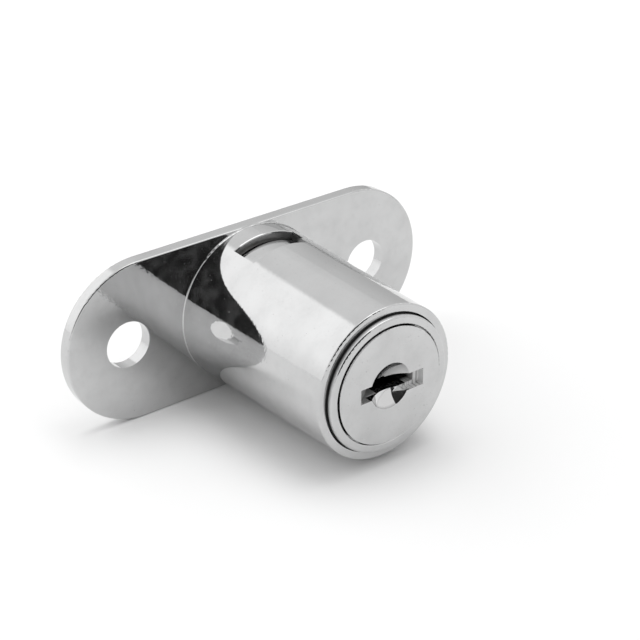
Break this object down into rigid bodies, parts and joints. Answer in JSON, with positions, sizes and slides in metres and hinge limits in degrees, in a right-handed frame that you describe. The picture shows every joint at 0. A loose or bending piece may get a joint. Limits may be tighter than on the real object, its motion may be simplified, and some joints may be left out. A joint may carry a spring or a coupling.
{
  "type": "drawer lock",
  "caption": "Push-in drawer lock with an oval screw flange, a round tube with a latch window, a sliding keyed barrel and a round bolt behind the flange.",
  "frame": {"origin": "on the axis of the tube and midway between the two screw holes, in the front face of the flange that seats on the wood", "axes": "+X along the long side of the flange, -Y along the tube towards the key, +Y along the bolt, +Z towards the latch window in the top of the tube"},
  "size_m": [0.054, 0.0369, 0.0212],
  "materials": {
    "housing_chrome": "bright chrome plating",
    "barrel_chrome": "bright chrome plating",
    "plug_chrome": "bright chrome plating",
    "latch_chrome": "chrome plating",
    "cap_steel": "zinc-plated pressed steel",
    "bolt_steel": "turned and nickel-plated steel",
    "screw_steel": "zinc-plated steel",
    "pin_steel": "ground steel",
    "spring_steel": "drawn spring steel",
    "wafer_brass": "stamped brass"
  },
  "bodies": {
    "housing": {"housing": "housing_chrome", "rear_cap": "cap_steel", "main_spring_left": "spring_steel", "main_spring_right": "spring_steel"},
    "barrel": {"barrel": "barrel_chrome", "bolt": "bolt_steel", "bolt_screw_left": "screw_steel", "bolt_screw_right": "screw_steel", "plug_retaining_pin": "pin_steel", "latch_spring": "spring_steel"},
    "latch": {"latch": "latch_chrome"},
    "plug": {"plug": "plug_chrome", "wafer_spring_1": "spring_steel", "wafer_spring_2": "spring_steel", "wafer_spring_3": "spring_steel", "wafer_spring_4": "spring_steel", "wafer_spring_5": "spring_steel", "wafer_spring_6": "spring_steel"},
    "wafer_1": {"wafer_1": "wafer_brass"},
    "wafer_2": {"wafer_2": "wafer_brass"},
    "wafer_3": {"wafer_3": "wafer_brass"},
    "wafer_4": {"wafer_4": "wafer_brass"},
    "wafer_5": {"wafer_5": "wafer_brass"},
    "wafer_6": {"wafer_6": "wafer_brass"}
  },
  "joints": [
    {"name": "barrel_pop", "type": "slide", "parent": "housing", "child": "barrel", "axis": [0, -1, 0], "range_m": [0, 0.008], "deforming": ["main_spring_left", "main_spring_right"]},
    {"name": "plug_turn", "type": "hinge", "parent": "barrel", "child": "plug", "pos_m": [0, -0.02, 0], "axis": [0, 1, 0], "range_deg": [0, 90]},
    {"name": "latch_retract", "type": "slide", "parent": "barrel", "child": "latch", "axis": [0, 0, -1], "range_m": [0, 0.00283], "deforming": ["latch_spring"]},
    {"name": "wafer_1_slide", "type": "slide", "parent": "plug", "child": "wafer_1", "axis": [1, 0, 0], "range_m": [0, 0.0009], "stiffness_N_per_m": 30, "springref_m": 0.0015, "deforming": ["wafer_spring_1"]},
    {"name": "wafer_2_slide", "type": "slide", "parent": "plug", "child": "wafer_2", "axis": [-1, 0, 0], "range_m": [0, 0.0009], "stiffness_N_per_m": 30, "springref_m": 0.0015, "deforming": ["wafer_spring_2"]},
    {"name": "wafer_3_slide", "type": "slide", "parent": "plug", "child": "wafer_3", "axis": [1, 0, 0], "range_m": [0, 0.0009], "stiffness_N_per_m": 30, "springref_m": 0.0015, "deforming": ["wafer_spring_3"]},
    {"name": "wafer_4_slide", "type": "slide", "parent": "plug", "child": "wafer_4", "axis": [-1, 0, 0], "range_m": [0, 0.0009], "stiffness_N_per_m": 30, "springref_m": 0.0015, "deforming": ["wafer_spring_4"]},
    {"name": "wafer_5_slide", "type": "slide", "parent": "plug", "child": "wafer_5", "axis": [1, 0, 0], "range_m": [0, 0.0009], "stiffness_N_per_m": 30, "springref_m": 0.0015, "deforming": ["wafer_spring_5"]},
    {"name": "wafer_6_slide", "type": "slide", "parent": "plug", "child": "wafer_6", "axis": [-1, 0, 0], "range_m": [0, 0.0009], "stiffness_N_per_m": 30, "springref_m": 0.0015, "deforming": ["wafer_spring_6"]}
  ],
  "couplings": [
    {"joint": "plug_turn", "follows": "barrel_pop", "rad_per_m": 196.34},
    {"joint": "latch_retract", "follows": "barrel_pop", "ratio": 0.35355}
  ]
}
